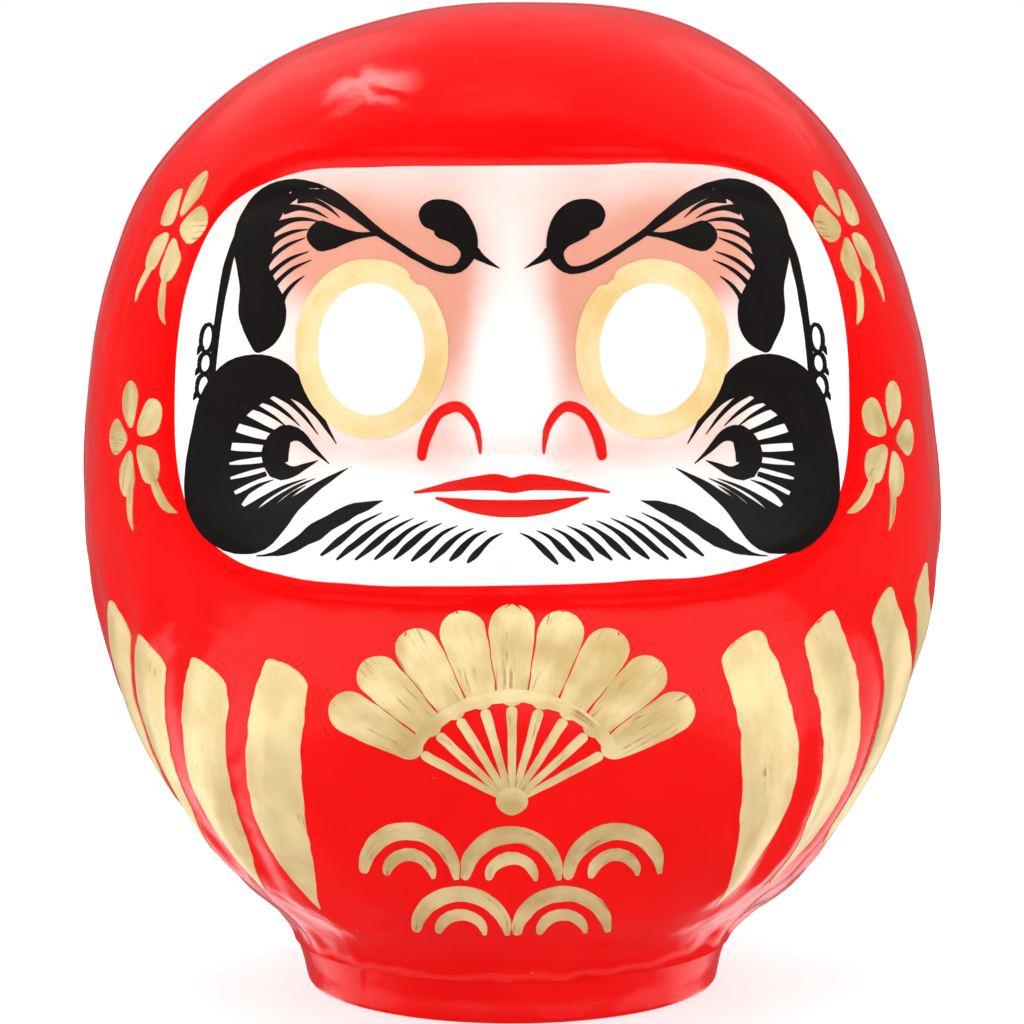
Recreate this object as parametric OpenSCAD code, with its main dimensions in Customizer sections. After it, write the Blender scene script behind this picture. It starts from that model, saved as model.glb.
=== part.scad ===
// Daruma doll: a hollow doll of moulded paper pulp on a weighted foot.
// The origin is the middle of the foot's underside. +Z is up, and the face looks along -Y.
// Lengths are in millimetres.

/* [Body] */
// Height from the floor to the crown
body_h = 300; // [250:5:380]
// Width and depth of the body at the belly
body_w = 260; // [210:5:320]
// Height of the belly, the widest place, above the floor
belly_z = 145; // [125:1:175]
// Fullness of the crown: 2 is an ellipse, and more is squarer
crown_power = 2.4; // [2:0.1:3]
// Fullness of the robe below the belly
robe_power = 2.04; // [1.9:0.02:2.4]
// Wall of the moulded paper pulp
wall = 3; // [2:0.5:5]

/* [Foot] */
// Height of the foot cup
foot_h = 18; // [14:1:24]
// How far the foot cup's top stands out past the body that sits on it
foot_lip_w = 1.84; // [0.8:0.02:3]
// How far the foot cup narrows on each side towards its base
foot_taper_w = 3.5; // [1:0.25:6]
// Wall of the foot cup
foot_wall = 4; // [3:0.5:6]
// Floor of the foot cup
foot_floor = 3; // [2:0.5:5]
// Width of the hole that the dipping stick goes into
stick_hole_d = 10; // [6:1:14]

/* [Weight] */
// Height of the clay weight at its rim
weight_h = 13; // [8:1:16]
// Depth of the thumbed hollow in its top
weight_dish = 4; // [1:0.5:6]
// Gap between the weight and the foot cup's wall
weight_gap = 0.5; // [0.3:0.1:1]

/* [Paper strips] */
// Thickness of a pasted paper strip
strip_t = 0.6; // [0.4:0.1:1.2]
// Width of the strip over the joint between the two halves
seam_strip_w = 18; // [12:1:30]
// Height of the strip over the joint between the body and the foot
neck_strip_h = 7; // [5:1:12]
// Thickness of the paper disc under the foot
base_paper_t = 0.8; // [0.4:0.1:1.5]
// Width of the foot's rim outside the paper disc
base_rim_w = 8.5; // [8:0.5:14]

/* [Face opening] */
// Width of the hood beside the face opening, as seen from the front
hood_side_w = 35; // [25:1:55]
// Height of the face opening
face_h = 114; // [90:1:130]
// Height of the face opening's lower edge above the floor
face_z = 139; // [130:1:150]
// Corner radius of the face opening
face_corner_r = 34; // [20:1:44]
// How far the face lies below the hood and the robe
face_depth = 8; // [5:0.5:12]

/* [Nose] */
// Width across the nose between the wings
nose_w = 38; // [30:1:46]
// How far the nose stands out from the face
nose_out = 9; // [5:0.5:11]

/* [Eyes] */
// Distance of each eye from the middle line
eye_x = 39; // [34:1:44]
// Width of an eye inside its gold ring
eye_w = 30; // [22:1:34]
// Width of the brushed gold ring
eye_ring_w = 6; // [3:0.5:8]

/* [Paint] */
// Thickness of one painted layer
paint_t = 0.3; // [0.2:0.05:0.5]
// Number of gold folds on each side of the robe
fold_count = 4; // [2:1:5]
// Width of a gold fold
fold_w = 19; // [10:1:20]
// Angle between neighbouring gold folds
fold_step_deg = 12; // [10:1:15]
// Number of ribs in the gold fan
fan_ribs = 7; // [5:2:11]
// Length of the gold fan's ribs
fan_r = 58; // [34:1:60]
// Half the width of a gold wave crest
wave_r = 14.5; // [8:0.5:15]
// Radius of a gold blossom
blossom_r = 16; // [10:1:18]

/* [Hidden] */
$fn = 96;

// Steps along the crown's and the robe's outline
crown_steps = 22;
robe_steps = 16;
// How far a cutting solid runs past what it cuts
past = 1;
lacquer_red = [0.88, 0.03, 0.03];
face_pale = [0.98, 0.90, 0.84];
eye_white = [0.98, 0.98, 0.96];
ink_black = [0.03, 0.03, 0.03];
gold_paint = [0.83, 0.68, 0.36];
raw_paper = [0.72, 0.68, 0.60];
washi_white = [0.93, 0.90, 0.82];
raw_clay = [0.55, 0.42, 0.32];

foot_top_d = 2 * (body_r(foot_h, 0) + foot_lip_w);
foot_base_d = foot_top_d - 2 * foot_taper_w;
base_paper_d = foot_base_d - 2 * base_rim_w;
face_w = body_w - 2 * hood_side_w;
// The ink of the brows and whiskers is placed from the face opening's side edge
ink_x = face_w / 2;
// Heights on the face, by thirds: the nose ends a third of the way up, and the brow stands at two thirds
nose_base_z = face_z + face_h / 3;
eye_z = face_z + face_h * 4 / 7;
brow_z = face_z + face_h * 6 / 7;
mouth_z = face_z + face_h * 2 / 9;
eye_h = eye_w * 1.2;
nose_tip_r = nose_w * 0.32;
nose_wing_r = nose_w * 0.22;
nose_tip_z = nose_base_z + nose_tip_r * 0.8;
// Radius of the face at the height where the nose stands
face_floor_r = body_w / 2 - face_depth;
robe_z = foot_h + neck_strip_h;
weight_r = foot_base_d / 2 - foot_wall - weight_gap;
// The angle round the body at which the hood's side begins
hood_side_deg = asin(face_w / body_w);

// ---------- outlines ----------

// One quarter of a rounded oval: a across, h high, from the belly (angle 0) to the pole (90)
function quarter(a, h, power, steps) = [
    for (i = [0 : steps])
        let (t = 90 * i / steps)
        [a * pow(cos(t), 2 / power), h * pow(sin(t), 2 / power)]
];

// Half outline of the body, moved in by inset, from the lower pole to the crown
function body_outline(inset) = let (
    a = body_w / 2 - inset,
    low = quarter(a, belly_z - inset, robe_power, robe_steps),
    high = quarter(a, body_h - belly_z - inset, crown_power, crown_steps)
) concat(
    [for (i = [robe_steps : -1 : 1]) [i == robe_steps ? 0 : low[i][0], belly_z - low[i][1]]],
    [for (i = [0 : crown_steps]) [i == crown_steps ? 0 : high[i][0], belly_z + high[i][1]]]
);

// Radius of the body at a height, moved in by inset
function body_r(z, inset) = let (
    h = z > belly_z ? body_h - belly_z - inset : belly_z - inset,
    power = z > belly_z ? crown_power : robe_power
) (body_w / 2 - inset) * pow(1 - pow(abs(z - belly_z) / h, power), 1 / power);

// A brush stroke along a bent line through p[0] and p[2] that leans to p[1];
// w holds its half widths at the start, middle and end
function bend(p, t) = p[0] * (1 - t) * (1 - t) + p[1] * 2 * t * (1 - t) + p[2] * t * t;
function aside(p, t) = let (d = (p[1] - p[0]) * (1 - t) + (p[2] - p[1]) * t) [-d[1], d[0]] / norm(d);
function stroke_points(p, w, steps) = let (
    at = [for (i = [0 : steps]) i / steps],
    half = [for (t = at) w[0] * (1 - t) * (1 - t) + w[1] * 2 * t * (1 - t) + w[2] * t * t]
) concat(
    [for (i = [0 : steps]) bend(p, at[i]) + aside(p, at[i]) * half[i]],
    [for (i = [steps : -1 : 0]) bend(p, at[i]) - aside(p, at[i]) * half[i]]
);

module stroke(p, w, steps = 8) {
    polygon(stroke_points(p, w, steps));
}

module rounded_rectangle(w, h, r) {
    translate([-w / 2 + r, 0]) square([w - 2 * r, h]);
    translate([-w / 2, r]) square([w, h - 2 * r]);
    for (x = [-w / 2 + r, w / 2 - r], z = [r, h - r]) translate([x, z]) circle(r);
}

// ---------- shared solids ----------

// The round body, moved in by inset and cut off where the foot begins
module body_solid(inset) {
    intersection() {
        rotate_extrude() polygon(body_outline(inset));
        translate([0, 0, foot_h]) cylinder(h = body_h, r = body_w);
    }
}

// A flat outline in the X-Z plane, drawn out towards -Y from the middle of the body
module forwards(reach = body_w) {
    rotate([90, 0, 0]) linear_extrude(reach) children();
}

module face_window(grow) {
    forwards() translate([0, face_z - grow])
        rounded_rectangle(face_w + 2 * grow, face_h + 2 * grow, face_corner_r + grow);
}

// The nose, moved out by grow: a ridge from the brow, a tip and two wings
module nose(grow) {
    tip_y = -(face_floor_r + nose_out - nose_tip_r);
    translate([0, tip_y, nose_tip_z]) sphere(nose_tip_r + grow);
    for (side = [-1, 1])
        translate([side * (nose_w / 2 - nose_wing_r), tip_y + nose_tip_r * 0.1, nose_tip_z - nose_wing_r * 0.2])
            sphere(nose_wing_r + grow);
    translate([0, tip_y, nose_tip_z]) rotate([-8, 0, 0])
        cylinder(h = eye_z - nose_tip_z, r1 = nose_tip_r * 0.8 + grow, r2 = nose_tip_r * 0.35 + grow);
}

// The outside of the doll with the sunken face, moved in by inset
module doll_solid(inset) {
    difference() {
        body_solid(inset);
        difference() {
            face_window(inset);
            body_solid(face_depth + inset);
        }
    }
    intersection() {
        nose(-inset);
        face_window(0);
    }
}

// The band that the seam strip is pasted into, at the joint plane Y = 0
module seam_band() {
    translate([-body_w, -seam_strip_w / 2, foot_h + neck_strip_h])
        cube([2 * body_w, seam_strip_w, body_h]);
}

module half_shell(side) {
    intersection() {
        difference() {
            doll_solid(0);
            doll_solid(wall);
            difference() {
                seam_band();
                body_solid(strip_t);
            }
        }
        translate([-body_w, side < 0 ? -2 * body_w : 0, 0]) cube([2 * body_w, 2 * body_w, 2 * body_h]);
    }
}

// A painted layer on the robe and hood: the flat outline, drawn out at an angle round the body
module body_paint(angle = 0) {
    intersection() {
        rotate([0, 0, angle]) forwards() children();
        difference() {
            body_solid(-paint_t);
            body_solid(0);
        }
    }
}

// The face's surface with so many painted layers on it
module face_solid(layers) {
    body_solid(face_depth - layers * paint_t);
    nose(layers * paint_t);
}

// A painted layer on the face; layer 1 is the ground, and layer 2 lies on it
module face_paint(layer) {
    intersection() {
        forwards() children();
        difference() {
            face_solid(layer);
            face_solid(layer - 1);
        }
        face_window(0);
    }
}

// Its children as they are on the doll's right (viewer's left, -X) or mirrored to its left
module on_side(side) {
    mirror([side > 0 ? 1 : 0, 0]) mirror([1, 0]) children();
}

// ---------- the parts that come apart ----------

module front_shell() {
    color(lacquer_red) half_shell(-1);
}

module back_shell() {
    color(lacquer_red) half_shell(1);
}

module seam_strip() {
    color(washi_white) intersection() {
        seam_band();
        difference() {
            body_solid(0);
            body_solid(strip_t);
        }
    }
}

// Fills the corner between the body and the foot cup's wider top
module neck_strip() {
    top_z = foot_h + neck_strip_h;
    color(washi_white) difference() {
        translate([0, 0, foot_h]) cylinder(h = neck_strip_h, r1 = foot_top_d / 2, r2 = body_r(top_z, 0) + strip_t);
        body_solid(0);
        translate([0, 0, foot_h - past]) cylinder(h = neck_strip_h + past, r = body_r(foot_h, wall));
    }
}

module foot_cup() {
    color(lacquer_red) difference() {
        cylinder(h = foot_h, d1 = foot_base_d, d2 = foot_top_d);
        translate([0, 0, base_paper_t + foot_floor]) cylinder(h = foot_h, r = weight_r + weight_gap);
        translate([0, 0, -past]) cylinder(h = past + base_paper_t, d = base_paper_d);
        translate([0, 0, -past]) cylinder(h = foot_h, d = stick_hole_d);
    }
}

module clay_weight() {
    // The hollow is part of a large ball that meets the rim
    dish_r = (pow(weight_r - foot_wall, 2) + pow(weight_dish, 2)) / (2 * weight_dish);
    base_z = base_paper_t + foot_floor;
    color(raw_clay) difference() {
        translate([0, 0, base_z]) cylinder(h = weight_h, r = weight_r);
        translate([0, 0, base_z + weight_h - weight_dish + dish_r]) sphere(dish_r);
        translate([0, 0, base_z - past]) cylinder(h = weight_h + past, d = stick_hole_d);
    }
}

module base_paper() {
    color(raw_paper) cylinder(h = base_paper_t, d = base_paper_d);
}

// ---------- painted layers on the face ----------

module face_ground() {
    color(face_pale) face_paint(1)
        translate([0, face_z]) rounded_rectangle(face_w, face_h, face_corner_r);
}

module oval(w, h) {
    translate([0, eye_z]) polygon([for (i = [0 : 47]) [w / 2 * cos(i * 7.5), h / 2 * sin(i * 7.5)]]);
}

module eye(side) {
    color(eye_white) face_paint(2) on_side(side) translate([eye_x, 0]) oval(eye_w, eye_h);
}

module eye_ring(side) {
    color(gold_paint) face_paint(2) on_side(side) translate([eye_x, 0]) difference() {
        oval(eye_w + 2 * eye_ring_w, eye_h + 2 * eye_ring_w);
        oval(eye_w, eye_h);
    }
}

// Spikes that point from a ring of radius r2 to one of radius r1, between two angles
module lashes(centre, r1, r2, from, to, count, half_w) {
    for (i = [0 : count - 1]) {
        a = from + (to - from) * i / (count - 1);
        out = [cos(a), sin(a)];
        stroke([centre + out * r2, centre + out * (r1 + r2) / 2, centre + out * r1], [half_w, half_w, 0.3], 3);
    }
}

// The brow: a crane's curled head, its neck and its spread wing
module brow(side) {
    crown = [0, brow_z];
    color(ink_black) face_paint(2) on_side(side) difference() {
        union() {
            stroke([crown + [8, -10], crown + [11, 5], crown + [24, 1]], [1, 5, 3]);
            stroke([crown + [12, -2], crown + [10, -16], crown + [22, -12]], [2, 1.2, 1.2]);
            stroke([crown + [21, -12.6], crown + [ink_x - 57, 3], crown + [ink_x - 45, 9]], [1.2, 1.5, 3.5]);
            stroke([crown + [ink_x - 46, 9], crown + [ink_x - 19, 12], crown + [ink_x - 20, -16]], [3.5, 6, 6]);
            stroke([crown + [ink_x - 20, -15], crown + [ink_x - 19, -26], crown + [ink_x - 23, -31]], [6, 5, 1]);
            stroke([crown + [ink_x - 63, -4], crown + [ink_x - 49, 2], crown + [ink_x - 40, -3]], [0.6, 2, 3]);
            lashes(crown + [ink_x - 38, -5], 7, 16, -45, 115, 10, 1.2);
        }
        translate([eye_x, 0]) oval(eye_w + 2 * eye_ring_w, eye_h + 2 * eye_ring_w);
    }
}

// The whisker: a tortoise curled in the lower corner, with a ring of lashes round its head
module whisker(side) {
    head = [ink_x - 26, face_z + 43];
    color(ink_black) face_paint(2) on_side(side) difference() {
        union() {
            for (leg = [[-15, 0, 120, 7], [-150, -75, -20, 7]])
                stroke([
                    head + 19 * [cos(leg[0]), sin(leg[0])],
                    head + 30 * [cos((leg[0] + leg[2]) / 2), sin((leg[0] + leg[2]) / 2)],
                    head + 19 * [cos(leg[2]), sin(leg[2])]
                ], [5, leg[3], 3], 12);
            lashes(head, 9, 18, -130, 130, 14, 1.3);
            stroke([head + [-1, 7], head + [9, 0], head + [-1, -7]], [1.5, 4, 1.5]);
        }
        translate([eye_x, 0]) oval(eye_w + 2 * eye_ring_w, eye_h + 2 * eye_ring_w);
    }
}

module moustache(side) {
    hair_count = 8;
    color(ink_black) face_paint(2) on_side(side) {
        stroke([[ink_x - 53, mouth_z + 2], [ink_x - 35, mouth_z + 1], [ink_x - 15, mouth_z - 9]], [0.5, 3, 0.5]);
        for (i = [0 : hair_count - 1])
            translate([10 + 5.5 * i, mouth_z - 6 + 0.5 * i]) stroke([[0, 0], [4, -5], [12, -10]], [0.4, 1, 1.2], 4);
    }
}

module nostril(side) {
    color(lacquer_red) face_paint(2) on_side(side)
        stroke([[nose_w / 2 - 6, nose_tip_z - 4], [nose_w / 2 + 2, nose_tip_z + 24], [nose_w / 2 + 17, nose_tip_z - 5]], [1, 1.6, 1.2], 12);
}

module mouth() {
    color(lacquer_red) face_paint(2)
        stroke([[-38, mouth_z], [0, mouth_z + 6], [38, mouth_z]], [1.5, 3, 1.5], 12);
}

// ---------- gold on the robe and hood ----------

// Folds of the robe: long leaves that lean away from the middle towards the foot, each a step further round
module gold_folds(side) {
    first_deg = 36;
    color(gold_paint) for (i = [0 : fold_count - 1]) {
        top_z = face_z - 20 + 3 * i;
        tip_z = robe_z + 12;
        body_paint(side * (first_deg + fold_step_deg * i)) on_side(side)
            stroke([[-9, top_z], [1, (top_z + tip_z) / 2], [8, tip_z]], [fold_w * 0.3, fold_w * 0.75, 0.8], 12);
    }
}

// Rows of wave crests, one more in each higher row
module gold_waves() {
    color(gold_paint) body_paint()
        for (row = [0 : 1], i = [0 : row + 1]) {
            at = [(2 * i - row - 1) * wave_r, robe_z + 6 + row * wave_r * 1.4];
            for (r = [wave_r - 1, wave_r * 0.5])
                stroke([at - [r, 0], at + [0, 2 * r], at + [r, 0]], [1.3, 2, 1.3], 10);
        }
}

// An open fan above the waves: ribs from one pivot and a broad band over their ends
module gold_fan() {
    pivot = [0, robe_z + 6 + wave_r * 3.2];
    spread_deg = 130;
    band_w = fan_r * 0.27;
    color(gold_paint) body_paint() translate(pivot) {
        for (i = [0 : fan_ribs - 1]) {
            a = 90 - spread_deg / 2 + spread_deg * i / (fan_ribs - 1);
            out = [cos(a), sin(a)];
            stroke([[0, 0], out * fan_r / 2, out * (fan_r - band_w / 2)], [1.2, 1.6, 2], 3);
        }
        intersection() {
            difference() {
                circle(fan_r);
                circle(fan_r - band_w);
            }
            polygon(concat([[0, 0]], [
                for (i = [0 : 8])
                    let (a = 90 - spread_deg / 2 + spread_deg * i / 8)
                    [cos(a), sin(a)] * 2 * fan_r
            ]));
        }
        circle(fan_r * 0.14);
    }
}

// A five-petalled blossom with a sprig
module blossom(r) {
    for (i = [0 : 4]) rotate(90 + 72 * i) translate([r * 0.6, 0]) circle(r * 0.36);
    circle(r * 0.3);
    for (a = [-115, -70]) rotate(a) stroke([[r * 0.5, 0], [r * 1.1, 3], [r * 1.6, -1]], [0.8, 2, 0.5], 5);
}

// One blossom by the temple and one by the cheek, clear of the face opening
module gold_blossoms(side) {
    clear_deg = 11;
    color(gold_paint) for (z = [face_z + face_h - 16, face_z + face_h / 3])
        body_paint(side * (hood_side_deg + clear_deg)) on_side(side) translate([0, z]) blossom(blossom_r);
}

// ---------- choice of node ----------

front_shell();
back_shell();
seam_strip();
neck_strip();
foot_cup();
clay_weight();
base_paper();
face_ground();
eye(1);  // left_eye
eye(-1);  // right_eye
eye_ring(1);  // left_eye_ring
eye_ring(-1);  // right_eye_ring
brow(1);  // left_brow
brow(-1);  // right_brow
whisker(1);  // left_whisker
whisker(-1);  // right_whisker
moustache(1);  // left_moustache
moustache(-1);  // right_moustache
nostril(1);  // left_nostril
nostril(-1);  // right_nostril
mouth();
gold_folds(1);  // left_gold_folds
gold_folds(-1);  // right_gold_folds
gold_fan();
gold_waves();
gold_blossoms(1);  // left_gold_blossoms
gold_blossoms(-1);  // right_gold_blossoms
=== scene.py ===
# %% [markdown]
# # A lacquered paper daruma
# The doll is a hollow egg of moulded paper pulp on a weighted foot, dipped in red lacquer and painted by
# hand. It is built here in the order in which the workshop makes it: the moulded body, the foot, the pasted
# strips, then the paint, one brush stroke at a time. Every size is in millimetres, and MM turns it into
# metres.

# %% Load the frame
import math

import bmesh
import bpy
from mathutils import Matrix, Vector, noise
from mathutils.bvhtree import BVHTree


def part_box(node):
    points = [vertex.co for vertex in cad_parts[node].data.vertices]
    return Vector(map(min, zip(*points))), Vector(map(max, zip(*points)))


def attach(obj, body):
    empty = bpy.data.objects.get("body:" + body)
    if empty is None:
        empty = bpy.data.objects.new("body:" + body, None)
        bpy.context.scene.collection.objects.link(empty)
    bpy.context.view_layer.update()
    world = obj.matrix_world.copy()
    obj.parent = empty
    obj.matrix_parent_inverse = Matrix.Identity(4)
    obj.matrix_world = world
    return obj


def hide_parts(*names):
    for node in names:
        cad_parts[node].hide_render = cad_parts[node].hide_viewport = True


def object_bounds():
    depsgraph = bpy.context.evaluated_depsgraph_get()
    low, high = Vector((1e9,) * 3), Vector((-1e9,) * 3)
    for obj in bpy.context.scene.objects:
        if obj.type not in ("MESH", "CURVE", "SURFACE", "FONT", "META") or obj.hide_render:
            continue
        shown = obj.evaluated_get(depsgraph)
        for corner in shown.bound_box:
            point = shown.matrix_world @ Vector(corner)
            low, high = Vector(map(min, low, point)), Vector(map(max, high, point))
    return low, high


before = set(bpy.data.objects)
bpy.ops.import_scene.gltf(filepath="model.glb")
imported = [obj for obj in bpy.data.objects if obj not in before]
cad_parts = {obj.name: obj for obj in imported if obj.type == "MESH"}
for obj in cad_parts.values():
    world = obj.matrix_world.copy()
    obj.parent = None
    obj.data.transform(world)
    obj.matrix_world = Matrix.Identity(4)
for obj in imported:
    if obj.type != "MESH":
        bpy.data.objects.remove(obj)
cad_low, cad_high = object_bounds()
MM = 0.001
print("CAD box, mm:", [round(a / MM, 1) for a in (*cad_low, *cad_high)])

# %% [markdown]
# ## The sizes that everything follows
# The frame gives the body's height and width, the foot and the face opening. A workshop carves its wooden
# mould from the same few numbers, so the paint and the paper are placed from them too.

# %% Read the driving sizes
BODY_R = cad_high.x / MM
CROWN_Z = cad_high.z / MM
BELLY_Z = 145.0
CROWN_POWER = 2.4
ROBE_POWER = 2.04
WALL = 3.0
FOOT_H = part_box("foot_cup")[1].z / MM
FOOT_TOP_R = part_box("foot_cup")[1].x / MM
FACE_LOW, FACE_HIGH = (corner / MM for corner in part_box("face_ground"))
EYE_LOW, EYE_HIGH = (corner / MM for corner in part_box("left_eye"))
EYE_X = (EYE_LOW.x + EYE_HIGH.x) / 2
EYE_Z = (EYE_LOW.z + EYE_HIGH.z) / 2
EYE_A = (EYE_HIGH.x - EYE_LOW.x) / 2
EYE_B = (EYE_HIGH.z - EYE_LOW.z) / 2
RING_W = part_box("left_eye_ring")[1].x / MM - EYE_HIGH.x
MOUTH_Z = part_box("mouth")[0].z / MM + 2.0
print("body", round(BODY_R), "x", round(CROWN_Z), "eye at", round(EYE_X), round(EYE_Z))

# %% [markdown]
# ## Shader maths that reads like arithmetic
# Node trees are hard to read as lists of links. A small class wraps one socket, so that `a * 2 + b` adds
# the Math nodes by itself, and one method makes every other kind of node.

# %% Wrap a socket and a material


class Value:
    """A number that changes over the surface; sums with it add Math nodes."""

    def __init__(self, finish, socket):
        self.finish = finish
        self.socket = socket

    def math(self, operation, other=0.0, flip=False):
        pair = (other, self) if flip else (self, other)
        return self.finish.node("Math", {"operation": operation}, {0: pair[0], 1: pair[1]})

    def __add__(self, other):
        return self.math("ADD", other)

    def __radd__(self, other):
        return self.math("ADD", other, flip=True)

    def __sub__(self, other):
        return self.math("SUBTRACT", other)

    def __rsub__(self, other):
        return self.math("SUBTRACT", other, flip=True)

    def __mul__(self, other):
        return self.math("MULTIPLY", other)

    def __rmul__(self, other):
        return self.math("MULTIPLY", other, flip=True)

    def __truediv__(self, other):
        return self.math("DIVIDE", other)

    def __abs__(self):
        return self.math("ABSOLUTE")

    def power(self, other):
        return self.math("POWER", other)

    def between(self, low, high):
        """0 below low, 1 above high, and a smooth rise from one to the other."""
        sockets = {"Value": self, "From Min": low, "From Max": high}
        return self.finish.node("MapRange", {"interpolation_type": "SMOOTHSTEP"}, sockets)


class Nodes:
    """One short way to add nodes to a tree."""

    def __init__(self, tree):
        self.tree = tree

    def node(self, kind, settings=None, sockets=None, out=0):
        made = self.tree.nodes.new("ShaderNode" + kind)
        for key, value in (settings or {}).items():
            setattr(made, key, value)
        for key, value in (sockets or {}).items():
            self.feed(made.inputs[key], value)
        return Value(self, made.outputs[out])

    def output(self, value, name):
        """Another output of the node that value comes from."""
        return Value(self, value.socket.node.outputs[name])

    def feed(self, socket, value):
        if isinstance(value, Value):
            self.tree.links.new(value.socket, socket)
        else:
            socket.default_value = value


class Finish(Nodes):
    """A Principled material."""

    def __init__(self, name, **constants):
        self.material = bpy.data.materials.new(name)
        self.material.use_nodes = True
        super().__init__(self.material.node_tree)
        self.surface = self.tree.nodes["Principled BSDF"]
        for socket, value in constants.items():
            self.set(socket.replace("_", " "), value)

    def set(self, socket, value):
        self.feed(self.surface.inputs[socket], value)

    def mix(self, amount, first, second):
        """A colour between first and second."""
        return self.node("Mix", {"data_type": "RGBA"}, {0: amount, 6: first, 7: second}, out=2)

    def place(self):
        """The x, y and z of a point on the object, in millimetres."""
        where = self.node("TexCoord", out=3)
        scaled = self.node("VectorMath", {"operation": "SCALE"}, {0: where, "Scale": 1 / MM})
        split = self.node("SeparateXYZ", sockets={0: scaled})
        return scaled, [self.output(split, axis) for axis in "XYZ"]

    def grain(self, where, size, detail=3.0, stretch=(1, 1, 1), rough=0.5):
        """Noise from 0 to 1 whose spots are about size across, in the units of where."""
        scaled = self.node("Mapping", sockets={0: where, "Scale": [s / size for s in stretch]})
        sockets = {"Vector": scaled, "Scale": 1.0, "Detail": detail, "Roughness": rough}
        return self.node("TexNoise", sockets=sockets)

    def sway(self, where):
        """Noise as a vector, to bend a straight pattern."""
        return self.output(self.grain(where, 24, 2.0), "Color")

    def bump(self, height, distance, strength=1.0, after=None):
        """Surface relief: height from 0 to 1 stands for distance in millimetres."""
        sockets = {"Height": height, "Distance": distance * MM, "Strength": strength}
        if after is not None:
            sockets["Normal"] = after
        return self.node("Bump", sockets=sockets)


def shade(r, g, b):
    """A display colour, 0 to 255, as the linear colour that a shader takes."""
    return (*[(c / 255 / 12.92) if c <= 10 else ((c / 255 + 0.055) / 1.055) ** 2.4 for c in (r, g, b)], 1)


# %% [markdown]
# ## Red lacquer over paper
# The body is dipped, so the colour is one deep, even red with a thick gloss. What shows that it is paper
# are the soft dents in the highlights, the faint fibres under the gloss, and a few specks of dust that
# dried in it. Fine bumps break the sharp reflection up, and the longest of them run round the body, as the
# fibres do.

# %% Mix the red lacquer
SCRAP_SWAY = 16.0


def lacquer(name, fibre=1.0):
    """Glossy red; fibre makes the paper under it show more."""
    f = Finish(name, Specular_IOR_Level=0.22)
    where, _ = f.place()
    clouds = f.grain(where, 45, 2.0)
    worn = f.grain(where, 7, 3.0)
    red = f.mix(clouds.between(0.3, 0.7), shade(233, 5, 5), shade(242, 8, 8))
    specks = f.node("TexVoronoi", sockets={"Vector": where, "Scale": 0.075, "Randomness": 1.0})
    dust = 1 - specks.between(0.018, 0.03)
    f.set("Base Color", f.mix(dust * 0.55, red, shade(255, 120, 110)))
    f.set("Roughness", 0.1 + worn * 0.1)
    fibres = f.grain(where, 1.0, 3.0, (0.22, 1, 1.6), 0.6)
    creases = f.grain(where, 3.0, 3.0, (0.22, 1, 1.3), 0.65)
    dents = f.grain(where, 14, 2.0)
    bent = {0: f.sway(where), 1: (SCRAP_SWAY,) * 3, 2: where}
    strayed = f.node("VectorMath", {"operation": "MULTIPLY_ADD"}, bent)
    scraps = f.node("TexVoronoi", {"feature": "DISTANCE_TO_EDGE"}, {"Vector": strayed, "Scale": 0.021})
    relief = f.bump(dents, 0.16 * fibre)
    relief = f.bump(scraps.between(0.0, 0.09), 0.12, after=relief)
    relief = f.bump(creases, 0.055 * fibre, after=relief)
    relief = f.bump(fibres, 0.045 * fibre, after=relief)
    relief = f.bump(dust, 0.06, after=relief)
    f.set("Normal", relief)
    return f.material


red_lacquer = lacquer("red_lacquer")
red_paper = lacquer("red_lacquered_paper", fibre=1.7)
print("red finishes:", red_lacquer.name, red_paper.name)

# %% [markdown]
# ## The face's ground
# The face is brushed with white shell powder and then shaded with a fine spray of peach: strong under the
# brows and round the eyes, faint by the mouth, and none on the bridge of the nose. The faint peach along the
# forehead, under the hood's overhang, is partly that spray and partly painted shade. Each cloud of spray is a
# bell curve round a place on the face. The sides mirror each other, so the maths uses the distance from the
# middle.

# %% Mix the face's ground


def face_ground_paint():
    f = Finish("face_paint", Specular_IOR_Level=0.3)
    where, (x, _, z) = f.place()
    aside = abs(x)

    def cloud(cx, cz, rx, rz):
        """Spray centred on cx, cz, that has faded to a third at rx, rz."""
        across = (aside - cx) / rx
        up = (z - cz) / rz
        return ((across * across + up * up) * -1.0).math("EXPONENT")

    drift = f.grain(where, 16, 3.0)
    brow = cloud(EYE_X + 13, EYE_Z + 27, 24, 14)
    lid = cloud(EYE_X - 6, EYE_Z + 20, 27, 15) * 0.95
    bridge = cloud(EYE_X - 21, EYE_Z + 2, 8, 26)
    corner = cloud(EYE_X + 20, EYE_Z - 14, 12, 19) * 0.6
    under = cloud(EYE_X - 6, EYE_Z - 27, 24, 7) * 0.55
    # Along the top of the face, under the hood's overhang, this peach is partly spray and partly painted
    # shade.
    forehead_spray_and_shade = cloud(EYE_X - 14, EYE_Z + 44, 66, 18) * 0.48
    spray = (brow + lid + bridge + corner + under + forehead_spray_and_shade) * (0.8 + drift * 0.4)
    peach = f.mix(spray.between(-0.1, 1.25), shade(255, 252, 249), shade(228, 156, 134))
    blush = cloud(8, MOUTH_Z + 7, 44, 8) * f.grain(where, 5, 3.0, (0.25, 1, 1.6)).between(0.3, 0.75)
    f.set("Base Color", f.mix(blush * 0.4, peach, shade(250, 206, 206)))
    f.set("Roughness", 0.34 + drift * 0.14)
    brushed = f.grain(where, 1.5, 3.0, (0.35, 1, 1.4))
    relief = f.bump(f.grain(where, 12, 2.0), 0.22)
    f.set("Normal", f.bump(brushed, 0.035, after=relief))
    return f.material


face_paint = face_ground_paint()

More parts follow.
